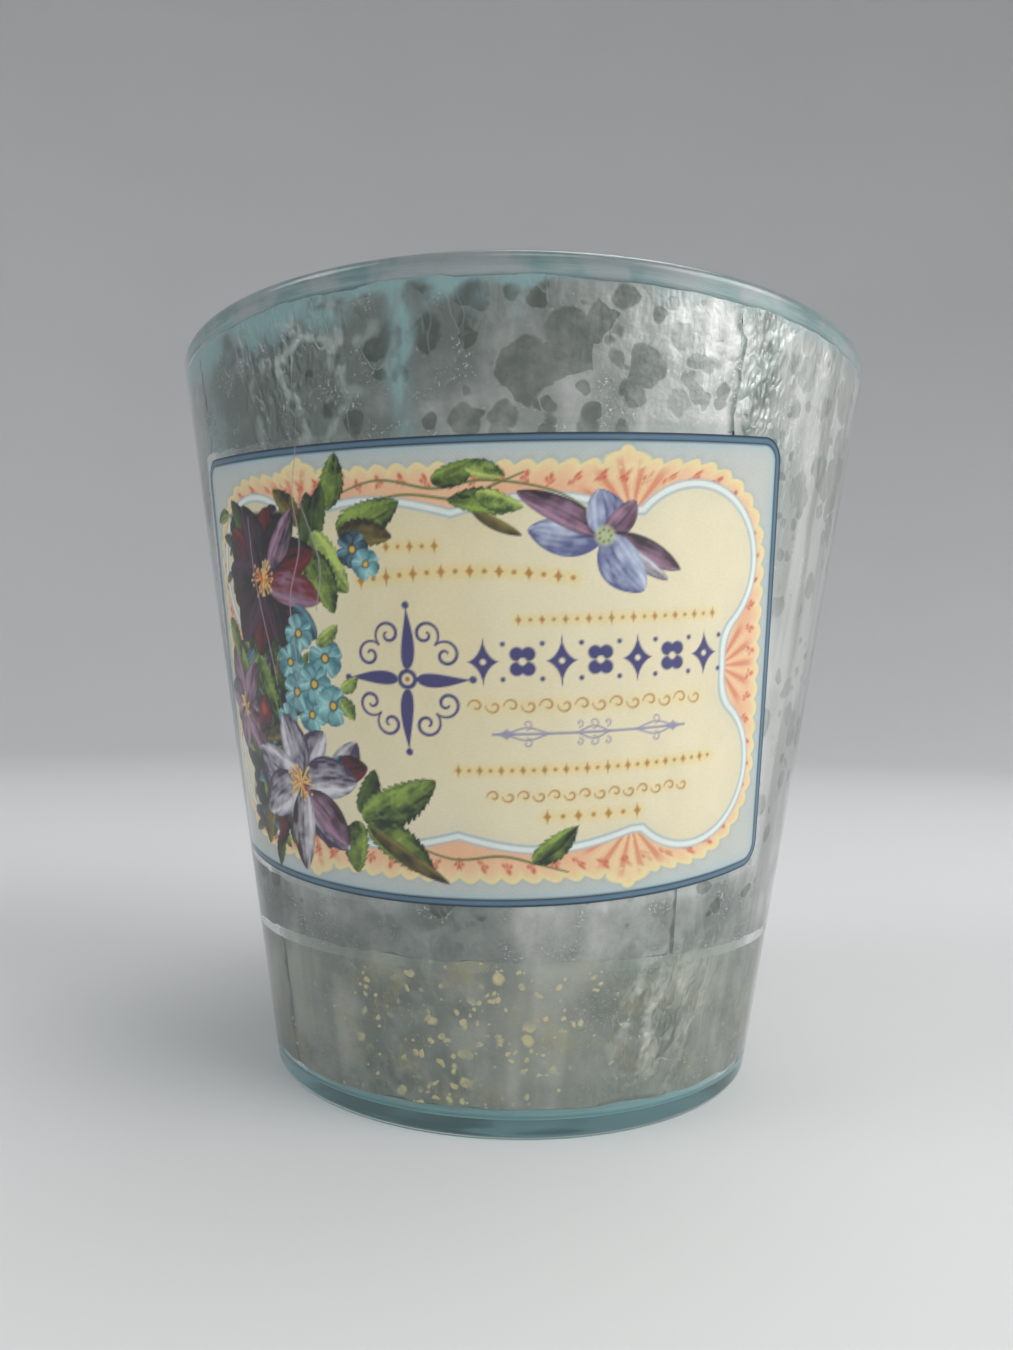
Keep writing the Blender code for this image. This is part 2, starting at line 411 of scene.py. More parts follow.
def stamens(picture, centre, radius, count, chance):
    """Short bright threads that stand out of a flower's middle."""
    dot(picture, *centre, radius * 0.55, BURGUNDY[0], 0.8, 0.5)
    for _ in range(count):
        angle = chance.uniform(0, FULL_TURN)
        reach = radius * chance.uniform(0.35, 1.0)
        end = away(centre, reach, angle + chance.uniform(-0.3, 0.3))
        stroke(picture, [away(centre, 0.2, angle), end], 0.20, STAMEN[chance.integers(3)])
        dot(picture, *end, 0.17, STAMEN[1])


def stroke(picture, points, width, colour, swell=0.0):
    """A line of ink through points. With swell it is thin at its ends and full in the middle."""
    points = np.array(points, float)
    middle = (points.min(0) + points.max(0)) / 2
    reach = (points.max(0) - points.min(0)).max() / 2 + width + 0.6
    where = picture.near(*middle, reach)
    x, y = picture.x[where], picture.y[where]
    cover = np.zeros(x.shape)
    count = len(points) - 1
    for number in range(count):
        ax, ay = points[number]
        bx, by = points[number + 1] - points[number]
        t = np.clip(((x - ax) * bx + (y - ay) * by) / (bx * bx + by * by + 1e-9), 0, 1)
        full = math.sin(math.pi * (number + 0.5) / count)
        thick = width * (1 - swell + swell * full)
        distance = np.hypot(x - ax - bx * t, y - ay - by * t) - thick / 2
        cover = np.maximum(cover, ink(distance, 0.09))
    picture.lay(cover, colour, where)


def curve(*points, steps=10):
    """Points of a smooth line through the given points."""
    knots = [np.array(p, float) for p in points]
    knots = [2 * knots[0] - knots[1]] + knots + [2 * knots[-1] - knots[-2]]
    line = []
    for a, b, c, d in zip(knots, knots[1:], knots[2:], knots[3:]):
        for step in range(steps):
            t = step / steps
            square, cube = 2 * a - 5 * b + 4 * c - d, 3 * b - a - 3 * c + d
            line.append((2 * b + (c - a) * t + square * t**2 + cube * t**3) / 2)
    return line + [knots[-2]]


def spiral(centre, radius, turns, start, hand=1):
    """Points of a curl that winds in to its centre, from an angle in degrees."""
    steps = int(28 * turns)
    line = []
    for step in range(steps + 1):
        t = step / steps
        angle = math.radians(start) + hand * FULL_TURN * turns * t
        line.append(away(centre, radius * (1 - 0.82 * t), angle))
    return line


def star(picture, x, y, half_width, half_height, colour, blur=0.10):
    """A four-pointed star with hollow sides."""
    where = picture.near(x, y, max(half_width, half_height) + 0.5)
    dx = np.abs(picture.x[where] - x) / half_width
    dy = np.abs(picture.y[where] - y) / half_height
    distance = ((dx**0.62 + dy**0.62) ** (1 / 0.62) - 1) * min(half_width, half_height) * 0.5
    picture.lay(ink(distance, blur), colour, where)


def gold_row(picture, start, end, y, size, pitch, arch=0.0):
    """A row of small gold lozenges and dots with a faint yellow bleed, in place of wording."""
    count = round((end - start) / pitch)
    for number in range(count + 1):
        x = start + (end - start) * number / count
        lift = y + arch * (1 - (2 * number / count - 1) ** 2)
        dot(picture, x, lift, size * 0.9, GOLD_GLOW, 0.45, 0.5)
        if number % 2:
            dot(picture, x, lift, size * 0.28, GOLD)
        else:
            star(picture, x, lift, size * 0.62, size, GOLD)


def wave_row(picture, start, end, y, height, pitch):
    """A running scroll in gold, in place of wording."""
    count = round((end - start) / pitch)
    step = (end - start) / count
    for number in range(count):
        x = start + (number + 0.5) * step
        dot(picture, x, y, height, GOLD_GLOW, 0.30, 0.6)
        hand = 1 if number % 2 else -1
        stroke(picture, spiral((x, y), height, 0.9, 180, hand), 0.24, GOLD, 0.5)


def paint_ornaments(picture):
    """Generic printer's ornaments where such a label has its wording."""
    gold_row(picture, -8.0, -2.0, 15.6, 0.85, 1.5)
    gold_row(picture, -11.5, 14.0, 11.6, 1.0, 1.7, arch=1.0)
    gold_row(picture, 7.6, 32.2, 6.8, 0.75, 1.36)
    wave_row(picture, 1.4, 30.8, -3.4, 0.95, 2.1)
    gold_row(picture, 0.2, 32.0, -11.2, 0.80, 1.26)
    wave_row(picture, 3.4, 29.0, -14.4, 0.80, 1.8)
    gold_row(picture, 10.6, 21.8, -17.0, 0.95, 1.9)

    for number in range(7):
        x = 3.4 + number * 4.6
        if number % 2:
            for corner in range(4):
                angle = math.radians(45 + 90 * corner)
                dot(picture, x + 0.95 * math.cos(angle), 1.9 + 1.25 * math.sin(angle), 0.85, INDIGO)
            dot(picture, x, 1.9, 0.45, CREAM)
        else:
            star(picture, x, 1.9, 2.0, 2.9, INDIGO)
            dot(picture, x, 1.9, 0.34, CREAM)
        for tip in (-0.2, 4.0):
            dot(picture, x + 2.3, tip, 0.30, INDIGO)

    medal = (-5.8, -0.2)
    for corner in range(4):
        angle = math.radians(45 + 90 * corner)
        middle = (medal[0] + 5.1 * math.cos(angle), medal[1] + 5.9 * math.sin(angle))
        for hand in (1, -1):
            where = away(middle, 1.75 * hand, angle + math.pi / 2)
            curl = spiral(where, 1.75, 1.25, math.degrees(angle) - 90 * hand, hand)
            stroke(picture, curl, 0.42, INDIGO, 0.4)
        ahead = math.radians(90 + 90 * corner)
        end = (medal[0] + 8.0 * math.cos(ahead), medal[1] + 8.9 * math.sin(ahead))
        petal(picture, away(medal, 1.2, ahead), end, 1.7, (INDIGO, INDIGO), (0.5, 1.3))
        dot(picture, *end, 0.45, INDIGO)
    dot(picture, *medal, 1.25, INDIGO)
    dot(picture, *medal, 0.70, CREAM)
    dot(picture, *medal, 0.32, GOLD)

    rule_y = -6.8
    for middle, half in ((8.4, 2.6), (16.3, 2.0), (24.2, 2.6)):
        for up in (-1, 1):
            top = (middle, rule_y + up * 0.75)
            bow = curve((middle - half, rule_y), top, (middle + half, rule_y))
            stroke(picture, bow, 0.22, LAVENDER)
    for x, size in ((8.4, 0.65), (14.6, 0.5), (16.3, 0.7), (18.0, 0.5), (24.2, 0.65)):
        for up in (-1, 1):
            ring = spiral((x, rule_y + up * 1.15), size, 0.9, -90 * up, up)
            stroke(picture, ring, 0.17, LAVENDER)
    stroke(picture, [(4.4, rule_y), (28.2, rule_y)], 0.30, LAVENDER, 0.3)
    for x in (6.0, 26.6):
        star(picture, x, rule_y, 1.9, 0.75, LAVENDER)


def paint_sprigs(picture):
    """Thin stems with leaves along the top and bottom of the band."""
    for line in (
        curve((-16, 21.5), (-9, 23.4), (-2, 22.2), (4, 23.0), (12, 21.6), (17.5, 18.2)),
        curve((-14, 20.0), (-6, 21.6), (1, 20.9), (5, 22.4), (8.5, 23.8)),
        curve((-8, -19.8), (-1, -22.2), (5, -21.8), (9.2, -22.8), (13, -24.0)),
    ):
        stroke(picture, line, 0.34, OLIVE, 0.4)
    leaf(picture, (-2.2, 23.0), (3.6, 25.2), 3.0, LEAF_GREEN)
    leaf(picture, (1.8, 24.6), (6.4, 23.4), 2.4, LEAF_FRESH, -1)
    leaf(picture, (7.2, 19.9), (-0.4, 20.8), 3.4, LEAF_GREEN)
    leaf(picture, (3.0, 21.5), (8.4, 19.8), 2.6, LEAF_FRESH)
    petal(picture, (2.6, 19.4), (8.2, 16.6), 1.4, LEAF_BROWN)
    leaf(picture, (8.8, -22.6), (14.2, -18.4), 3.3, LEAF_GREEN)
    petal(picture, (9.6, -22.4), (14.4, -18.2), 0.9, LEAF_DARK)


def paint_small_flower(picture, x, y, size, tones):
    """A five-petalled blue flower with a yellow eye."""
    start = (x * 37 + y * 11) % 72
    for number in range(5):
        tip = away((x, y), size, math.radians(start + 72 * number))
        petal(picture, (x, y), tip, size * 0.98, tones, (0.75, 0.35), 1 if number % 2 else -1)
    dot(picture, x, y, size * 0.26, LEAF_DARK[0])
    dot(picture, x, y, size * 0.17, POLLEN)


def paint_spray(picture):
    """The bunch of flowers and leaves down the label's left side."""
    chance = np.random.default_rng(SEED + 1)
    palettes = (LEAF_DARK, LEAF_DARK, NIGHT, LEAF_GREEN, DEEP_TEAL, LEAF_BROWN)
    ragged = 4.0 * clouds(picture.x, picture.y, 4.0, 2)
    mass = np.abs(picture.x + 28.6 - 1.6 * np.sin(picture.y * 0.21)) - 6.6 + ragged
    mass = np.maximum(mass, np.abs(picture.y + 0.5) - 21.0)
    picture.lay(ink(mass, 0.3), LEAF_DARK[0])
    for _ in range(170):
        y = chance.uniform(-23, 21)
        x = -29.0 + 1.6 * math.sin(y * 0.21) + chance.normal(0, 3.6)
        angle = chance.uniform(0, FULL_TURN)
        reach = chance.uniform(2.4, 5.0)
        tones = palettes[chance.integers(len(palettes))]
        leaf(picture, (x, y), away((x, y), reach, angle), reach * 0.5, tones)

    # Leaves at the top.
    leaf(picture, (-16.6, 20.2), (-14.6, 27.0), 4.0, LEAF_GREEN)
    leaf(picture, (-14.8, 17.8), (-6.2, 20.9), 5.0, LEAF_GREEN)
    leaf(picture, (-14.6, 17.2), (-7.2, 16.8), 3.8, LEAF_BROWN, -1)
    leaf(picture, (-19.6, 15.4), (-19.2, 22.6), 4.2, LEAF_DARK)
    leaf(picture, (-18.0, 17.0), (-16.8, 23.4), 3.2, LEAF_DARK, -1)
    leaf(picture, (-20.6, 18.6), (-25.2, 23.2), 3.2, LEAF_BROWN)
    leaf(picture, (-31.0, 15.8), (-35.6, 22.4), 3.8, LEAF_DARK)
    leaf(picture, (-18.8, 17.6), (-13.4, 10.2), 5.2, LEAF_FRESH)
    leaf(picture, (-19.6, 15.6), (-15.6, 7.6), 4.6, LEAF_GREEN, -1)
    paint_small_flower(picture, -12.6, 15.4, 2.3, DEEP_TEAL)
    paint_small_flower(picture, -10.8, 13.6, 1.9, TEAL_PETAL)

    # The large dark flower.
    bloom(picture, (-28.5, 11.9), (10.6, 9.4, 10.0, 8.8, 10.4, 9.6), 20, 7.4, BURGUNDY)
    bloom(picture, (-28.5, 11.9), (9.8, 10.4, 9.2, 10.8, 9.0, 10.2), 52, 6.2, NIGHT)
    petal(picture, (-27.6, 11.2), (-17.6, 9.2), 4.6, (BURGUNDY[1], PLUM[1]), side=-1)
    petal(picture, (-27.0, 13.0), (-22.0, 20.6), 3.6, (NIGHT[0], PLUM[1]), side=1)
    stamens(picture, (-28.5, 11.9), 2.7, 42, chance)
    petal(picture, (-22.4, 8.4), (-18.6, 4.4), 3.6, DEEP_TEAL)

    # Small blue flowers down the middle.
    for x, y, size in (
        (-21.8, 5.0, 2.5), (-23.6, 1.2, 2.4), (-20.0, -5.4, 2.4), (-22.6, -2.6, 2.6),
        (-17.4, 2.0, 2.7), (-19.4, -1.4, 2.8), (-16.4, -4.0, 2.6), (-24.8, -6.2, 2.0),
    ):
        paint_small_flower(picture, x, y, size, TEAL_PETAL)
    leaf(picture, (-18.6, 3.6), (-15.2, 6.2), 2.2, LEAF_FRESH)
    leaf(picture, (-15.0, -2.0), (-12.6, -0.2), 2.0, LEAF_FRESH)
    leaf(picture, (-15.2, -3.0), (-13.2, -5.6), 2.2, LEAF_FRESH, -1)

    # The second dark flower, by the left edge.
    leaf(picture, (-37.6, 3.0), (-33.0, -2.6), 3.6, LEAF_GREEN)
    leaf(picture, (-39.4, 6.4), (-36.6, 0.4), 3.6, LEAF_GREEN, -1)
    leaf(picture, (-30.6, 1.6), (-27.0, -5.6), 3.8, LEAF_GREEN)
    bloom(picture, (-36.4, -5.8), (4.4, 7.8, 8.6, 6.0, 4.2, 6.4, 8.8), 5, 4.6, PLUM)
    stamens(picture, (-36.4, -5.8), 1.9, 26, chance)
    petal(picture, (-31.6, -9.0), (-29.4, -3.4), 3.4, BURGUNDY)
    dot(picture, -30.4, -5.6, 0.7, STAMEN[2], 0.8, 0.3)

    # The pale flower at the bottom and what surrounds it.
    leaf(picture, (-30.0, -18.4), (-31.6, -24.8), 3.6, LEAF_BROWN)
    leaf(picture, (-27.0, -19.2), (-28.2, -24.2), 2.8, BURGUNDY, -1)
    leaf(picture, (-12.8, -17.4), (-10.6, -11.6), 3.4, LEAF_DARK)
    leaf(picture, (-12.6, -18.0), (-2.6, -12.6), 5.6, LEAF_GREEN)
    leaf(picture, (-11.8, -18.6), (-3.0, -24.4), 5.0, LEAF_GREEN, -1)
    petal(picture, (-11.6, -19.2), (-1.2, -25.4), 2.0, LEAF_BROWN)
    leaf(picture, (-13.2, -18.4), (-13.6, -25.2), 4.2, LEAF_GREEN)
    petal(picture, (-17.6, -13.8), (-13.0, -8.4), 4.2, MAUVE)
    petal(picture, (-17.0, -13.2), (-11.6, -11.4), 3.8, BURGUNDY, side=-1)
    petal(picture, (-18.0, -14.2), (-15.4, -10.2), 2.4, DEEP_TEAL)
    bloom(picture, (-22.7, -14.5), (8.4, 9.4, 10.2, 9.8, 8.6, 11.2, 9.6), 58, 6.2, MAUVE)
    petal(picture, (-21.6, -15.6), (-14.8, -21.8), 4.4, PLUM, side=-1)
    petal(picture, (-22.2, -15.4), (-22.6, -26.4), 4.6, (PLUM[0], MAUVE[1]))
    stamens(picture, (-22.7, -14.5), 2.9, 46, chance)


def paint_corner_flower(picture):
    """The light blue-violet flower at the plaque's top right."""
    middle = (17.8, 16.4)
    petal(picture, middle, (8.8, 17.2), 4.6, SKY_PETAL, side=-1)
    petal(picture, middle, (7.6, 21.6), 3.2, PLUM)
    petal(picture, middle, (17.2, 21.8), 4.8, SKY_PETAL)
    petal(picture, middle, (21.6, 20.4), 3.0, (NIGHT[1], PLUM[1]))
    petal(picture, middle, (27.4, 12.2), 3.0, PLUM, side=-1)
    petal(picture, (19.6, 15.4), (25.8, 11.0), 1.8, MAUVE)
    petal(picture, middle, (22.6, 9.8), 5.2, SKY_PETAL)
    dot(picture, *middle, 1.15, PALE_EYE, 0.9, 0.3)
    for number in range(7):
        dot(picture, *away(middle, 0.7, number * FULL_TURN / 7), 0.17, OLIVE)


def paint_creases(picture):
    """Thin pale creases where the damp paper folded as it was smoothed on."""
    for line in (
        curve((-20.6, 28.2), (-21.6, 22), (-20.8, 16), (-23.0, 9), (-22.4, 0), (-24.2, -8)),
        curve((-20.6, 22), (-17.6, 14), (-18.4, 8)),
        curve((-31.2, 20), (-30.4, 12), (-27.6, 2), (-26.6, -2)),
    ):
        stroke(picture, line, 0.16, CREASE, 0.34)


def make_picture():
    """Paint the label's picture on a grid whose corners are drawn in to round them."""
    x_line = np.linspace(-LABEL_WIDTH / 2, LABEL_WIDTH / 2, CELLS_ACROSS + 1)
    y_line = np.linspace(-LABEL_HEIGHT / 2, LABEL_HEIGHT / 2, CELLS_UP + 1)
    x, y = np.meshgrid(x_line, y_line)
    p = np.clip((np.abs(x) - LABEL_WIDTH / 2) / LABEL_CORNER + 1, 0, 1)
    q = np.clip((np.abs(y) - LABEL_HEIGHT / 2) / LABEL_CORNER + 1, 0, 1)
    draw_in = np.where((p > 0) & (q > 0), np.maximum(p, q) / np.maximum(np.hypot(p, q), 1e-9), 1)
    x = np.sign(x) * (np.abs(x) - p * (1 - draw_in) * LABEL_CORNER)
    y = np.sign(y) * (np.abs(y) - q * (1 - draw_in) * LABEL_CORNER)
    picture = Picture(x_line, y_line, x, y)
    for paint in (
        paint_ground, paint_band, paint_plaque, paint_ornaments,
        paint_sprigs, paint_spray, paint_corner_flower, paint_creases,
    ):
        paint(picture)
    picture.colour *= (1 + 0.045 * clouds(x, y, 3.0, 10))[..., None]
    return picture


# ---------------------------------------------------------------- meshes


SHARP_ANGLE = math.radians(50)
GLASS_STEPS = 192
RING_ANGLES = np.arange(GLASS_STEPS) * FULL_TURN / GLASS_STEPS
# A sheet's back has one cell for so many of its front's, each way.
BACK_STEP = 16


def mesh_piece(names, points, faces, material, places):
    """A mesh with one material and a flat map, whose places are in millimetres.

    Names are those of the piece, of the CAD node that it stands for and of its slot; the slot's
    name is not used.
    """
    name, node_name, slot_name = names
    mesh = bpy.data.meshes.new(name)
    mesh.from_pydata(points, [], faces)
    mesh.validate()
    mesh.materials.append(material)
    mesh.shade_smooth()
    mesh.set_sharp_from_angle(angle=SHARP_ANGLE)
    piece = bpy.data.objects.new(name, mesh)
    bpy.context.scene.collection.objects.link(piece)
    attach(piece, BODY)
    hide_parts(node_name)
    index = np.empty(len(mesh.loops), np.int32)
    mesh.loops.foreach_get("vertex_index", index)
    layer = mesh.uv_layers.new(name="Flat")
    layer.data.foreach_set("uv", places[index].astype(np.float32).ravel())
    return piece


def grid_faces(rows, columns):
    """Faces of a thin sheet: a fine front grid, a coarse back grid and the sides between."""
    step = BACK_STEP
    back_columns, back_rows = (columns - 1) // step + 1, (rows - 1) // step + 1
    first_back = rows * columns

    def front(j, i):
        return j * columns + i

    def back(j, i):
        return first_back + (j // step) * back_columns + i // step

    j, i = np.mgrid[0 : rows - 1, 0 : columns - 1]
    corner = (j * columns + i).ravel()
    quads = np.stack([corner, corner + 1, corner + columns + 1, corner + columns], 1)
    faces = quads.tolist()
    j, i = np.mgrid[0 : back_rows - 1, 0 : back_columns - 1]
    corner = (first_back + j * back_columns + i).ravel()
    quads = np.stack([corner, corner + back_columns, corner + back_columns + 1, corner + 1], 1)
    faces += quads.tolist()
    last_row, last_column = rows - 1, columns - 1
    for i in range(0, last_column, step):
        run = range(i, i + step + 1)
        faces.append([front(0, k) for k in reversed(run)] + [back(0, i), back(0, i + step)])
        top = [front(last_row, k) for k in run]
        faces.append(top + [back(last_row, i + step), back(last_row, i)])
    for j in range(0, last_row, step):
        run = range(j, j + step + 1)
        right = [front(k, last_column) for k in reversed(run)]
        faces.append(right + [back(j, last_column), back(j + step, last_column)])
        faces.append([front(k, 0) for k in run] + [back(j + step, 0), back(j, 0)])
    return faces


def with_back(values, width):
    """A row of values for each front point of a sheet, then one for each back point."""
    back = values[::BACK_STEP, ::BACK_STEP]
    return np.concatenate([values.reshape(-1, width), back.reshape(-1, width)])


def sheet_piece(names, front, thickness, material, colour, flat):
    """A thin wrapped sheet with a colour for each front point."""
    rows, columns = front.shape[:2]
    points = with_back(front, 3)
    back = points[rows * columns :]
    outward = back * (1, 1, 0)
    back -= outward / np.linalg.norm(outward, axis=1, keepdims=True) * thickness
    faces = grid_faces(rows, columns)
    piece = mesh_piece(names, points, faces, material, with_back(flat, 2))
    layer = piece.data.color_attributes.new("Print", "FLOAT_COLOR", "POINT")
    layer.data.foreach_set("color", with_back(colour, 4).astype(np.float32).ravel())


def ring_at(radius, height):
    """A level ring of points round Z, and their places on the flat map."""
    level = np.full(RING_ANGLES.shape, height)
    points = np.stack([radius * np.sin(RING_ANGLES), -radius * np.cos(RING_ANGLES), level], 1)
    return points, np.stack([RING_ANGLES * np.mean(radius), level], 1) / MM


def turned_piece(names, profile, material):
    """A closed shell turned round Z from (radius, height) rings, with a pole at each end."""
    rings, flats = zip(*(ring_at(*spot) for spot in profile))
    poles = [np.array([[0, 0, ring[0][2]]]) for ring in (rings[0], rings[-1])]
    points = np.concatenate([poles[0], *rings, poles[1]])
    turn = np.arange(GLASS_STEPS)
    ahead = (turn + 1) % GLASS_STEPS
    first_pole = np.zeros_like(turn)
    faces = np.stack([first_pole, 1 + turn, 1 + ahead], 1).tolist()
    for number in range(len(rings) - 1):
        low = 1 + number * GLASS_STEPS
        high = low + GLASS_STEPS
        faces += np.stack([low + turn, high + turn, high + ahead, low + ahead], 1).tolist()
    last = 1 + (len(rings) - 1) * GLASS_STEPS
    last_pole = first_pole + last + GLASS_STEPS
    faces += np.stack([last + turn, last_pole, last + ahead], 1).tolist()
    places = np.concatenate([flats[0][:1], *flats, flats[-1][:1]])
    mesh_piece(names, points, faces, material, places)


# ---------------------------------------------------------------- materials


class Nodes:
    """Builds a node tree with short calls. A value that is a socket is linked."""

    def __init__(self, tree):
        self.tree = tree

    def add(self, kind, settings=None, **values):
        """Add a node. Names in values are input names, with _ for a space."""
        node = self.tree.nodes.new("ShaderNode" + kind)
        for key, value in (settings or {}).items():
            setattr(node, key, value)
        for key, value in values.items():
            self.put(node.inputs[key.replace("_", " ")], value)
        return node

    def put(self, socket, value):
        """Link or set one input."""
        if isinstance(value, bpy.types.NodeSocket):
            self.tree.links.new(value, socket)
        else:
            socket.default_value = value

    def fill(self, node, *values):
        """Link or set a node's first inputs in turn, and return its first result."""
        for socket, value in zip(node.inputs, values):
            self.put(socket, value)
        return node.outputs[0]

    def math(self, operation, *values):
        """A maths node's result."""
        return self.fill(self.add("Math", {"operation": operation}), *values)

    def plus(self, first, second):
        """A sum."""
        return self.math("ADD", first, second)

    def minus(self, first, second):
        """A difference."""
        return self.math("SUBTRACT", first, second)

    def times(self, first, second):
        """A product."""
        return self.math("MULTIPLY", first, second)

    def step(self, value, low, high):
        """0 below low, 1 above high, smooth between. With low above high it runs down."""
        node = self.add("MapRange", {"interpolation_type": "SMOOTHSTEP"}, Value=value)
        ends = ((low, 0.0), (high, 1.0))
        for side, (place, level) in zip(("Min", "Max"), sorted(ends)):
            node.inputs["From " + side].default_value = place
            node.inputs["To " + side].default_value = level
        return node.outputs[0]


class Shader(Nodes):
    """A material's nodes. Places and sizes are in millimetres."""

    def __init__(self, name):
        self.material = bpy.data.materials.new(name)
        self.material.use_nodes = True
        super().__init__(self.material.node_tree)
        self.tree.nodes.clear()
        self.output = self.tree.nodes.new("ShaderNodeOutputMaterial")

    def blend(self, cover, under, over, kind="MIX"):
        """Colour over laid on colour under. A colour that isn't a socket is a tone."""
        node = self.add("Mix", {"data_type": "RGBA", "blend_type": kind})
        under, over = (c if isinstance(c, bpy.types.NodeSocket) else rgba(c) for c in (under, over))
        self.put(node.inputs[0], cover)
        self.put(node.inputs[6], under)
        self.put(node.inputs[7], over)
        return node.outputs[2]

    def mix(self, factor, first, second):
        """A mix of two shaders."""
        node = self.add("MixShader")
        self.fill(node, factor, first.outputs[0], second.outputs[0])
        return node

    def bump(self, height, strength, distance):
        """The normal of a surface that is raised a little by height."""
        return self.add("Bump", Height=height, Strength=strength, Distance=distance).outputs[0]

    def place(self, stretch=(1, 1, 1)):
        """Where a point is in the object, stretched along each axis."""
        coords = self.add("TexCoord").outputs["Object"]
        return self.add("Mapping", Vector=coords, Scale=[s / MM for s in stretch]).outputs[0]

    def height(self):
        """How high a point is in the object."""
        return self.add("SeparateXYZ", Vector=self.place()).outputs[2]

    def flat(self, stretch=(1, 1, 1)):
        """Where a point is on the piece's flat map, stretched."""
        coords = self.add("UVMap", {"uv_map": "Flat"}).outputs[0]
        return self.add("Mapping", Vector=coords, Scale=stretch).outputs[0]

    def noise(self, place, size, detail=3.0, rough=0.55):
        """Noise from 0 to 1 with lumps of a size."""
        return self.add(
            "TexNoise", Vector=place, Scale=1 / size, Detail=detail, Roughness=rough
        ).outputs[0]

    def bent(self, place, onto, size, reach, detail):
        """Places pushed about by noise, so that what is drawn on them has wavy edges."""
        push = self.add("TexNoise", Vector=place, Scale=1 / size, Detail=detail)
        node = self.add("VectorMath", {"operation": "MULTIPLY_ADD"})
        return self.fill(node, push.outputs["Color"], (reach,) * 3, onto)

    def spots(self, place, cell, channel, more, reach, edge):
        """Round spots, at most one to a cell, of sizes that a cell's random colour sets."""
        cells = self.add("TexVoronoi", Vector=place, Scale=1 / cell)
        chance = self.add("SeparateColor", Color=cells.outputs["Color"]).outputs[channel]
        size = self.times(self.plus(chance, more), reach)
        return self.step(self.minus(size, cells.outputs["Distance"]), *edge)

    def finish(self, surface):
        """Join a surface to the output and return the material."""
        self.tree.links.new(surface.outputs[0], self.output.inputs["Surface"])
        return self.material


def rgba(colour):
    """A colour with full cover."""
    return (*[float(c) for c in colour], 1.0)


def glass_material():
    """Clear glass with a faint aqua cast, the slow waves of a blown wall and a few seeds.

    Light for the matt films behind it passes unbent.
    """
    s = Shader("blown_glass")
    waves = s.noise(s.place((1, 1, 0.4)), size=16.0, detail=2.0)
    seeds = s.step(s.noise(s.place(), size=1.2, detail=1.0), 0.80, 0.86)
    glass = s.add(
        "BsdfPrincipled",
        Base_Color=rgba(tone(251, 254, 254)),
        Roughness=0.015,
        IOR=1.5,
        Transmission_Weight=1.0,
        Normal=s.bump(s.plus(waves, s.times(seeds, 0.06)), 0.35, 0.0004),
    )
    clear = s.add("BsdfTransparent", Color=rgba(tone(247, 252, 251)))
    surface = s.mix(s.add("LightPath").outputs["Is Diffuse Ray"], glass, clear)
    surface = s.mix(s.add("LightPath").outputs["Is Shadow Ray"], surface, clear)
    return s.finish(surface)


HATCH_PITCH = 0.62
HATCH_COVER = 0.34


def paper_material():
    """Printed paper: the picture, a fine engraved hatch on its ground, fibres and a satin size."""
    s = Shader("printed_label_paper")
    picture = s.add("VertexColor", {"layer_name": "Print"})
    printed, ground = picture.outputs["Color"], picture.outputs["Alpha"]
    flat = s.add("SeparateXYZ", Vector=s.flat())
    slant = s.plus(flat.outputs[0], flat.outputs[1])
    lines = s.math("SINE", s.times(slant, FULL_TURN / HATCH_PITCH))
    hatch = s.times(s.plus(s.times(s.times(lines, 0.5), ground), 0.5), HATCH_COVER)
    hatched = s.blend(ground, printed, s.blend(hatch, printed, tone(206, 214, 208)))
    fibre = s.noise(s.flat((1, 2.4, 1)), size=0.55, detail=4.0, rough=0.7)
    grain = s.blend(s.step(fibre, 0.35, 0.8), tone(246, 246, 246), tone(255, 255, 255))
    paper = s.add(
        "BsdfPrincipled",
        Base_Color=s.blend(1.0, hatched, grain, "MULTIPLY"),
        Roughness=s.plus(s.times(fibre, 0.15), 0.36),
        Normal=s.bump(fibre, 0.25, 0.00004),
        Specular_IOR_Level=0.35,
    )
    return s.finish(paper)


def crackle(s, place, crazed):
    """Fine branching lines, like cracks in ice, where leaf is crazed."""
    drawn = s.bent(place, s.place((1, 1, 0.7)), size=6.0, reach=6.0, detail=1.5)
    cells = s.add("TexVoronoi", {"feature": "DISTANCE_TO_EDGE"}, Vector=drawn, Scale=1 / 8.5)
    edges = s.step(cells.outputs[0], 0.11, 0.010)
    swirl = s.noise(s.place((1, 1, 0.55)), size=6.0, detail=2.0, rough=0.5)
    contour = s.step(s.math("ABSOLUTE", s.minus(swirl, 0.5)), 0.014, 0.002)
    broken = s.step(s.noise(place, size=2.6, detail=2.0), 0.36, 0.56)
    return s.times(s.times(s.math("MAXIMUM", edges, s.times(contour, 0.8)), broken), crazed)


def stained(s, colour, spots, patches, tarnish_and_painted_light, spot):
    """Colour with dark mottled spots on it, paler where the leaf is less tarnished and where it is
    painted lighter.
    """
    stain = s.plus(s.times(s.step(patches, 0.30, 0.70), 0.45), 0.52)
    stain = s.times(stain, s.plus(s.times(tarnish_and_painted_light, 1.1), 0.45))
    return s.blend(s.times(spots, s.math("MINIMUM", stain, 1.0)), colour, spot)


def gilded(s, colour, place, wavy, patches, spotted):
    """Colour with a warm patina and small gold flecks on it."""
    patina = s.step(s.noise(place, size=7.0, detail=4.0, rough=0.7), 0.50, 0.66)
    colour = s.blend(s.times(s.times(patina, spotted), 0.55), colour, tone(176, 164, 124))
    for cell, more, reach in ((2.0, -0.62, 1.5), (0.95, -0.60, 1.7)):
        gold = s.spots(wavy, cell, 2, more, s.times(spotted, reach), (-0.06, 0.16))
        gold = s.times(gold, s.step(patches, 0.34, 0.56))
        colour = s.blend(s.times(gold, 0.85), colour, tone(222, 208, 160))
    return colour


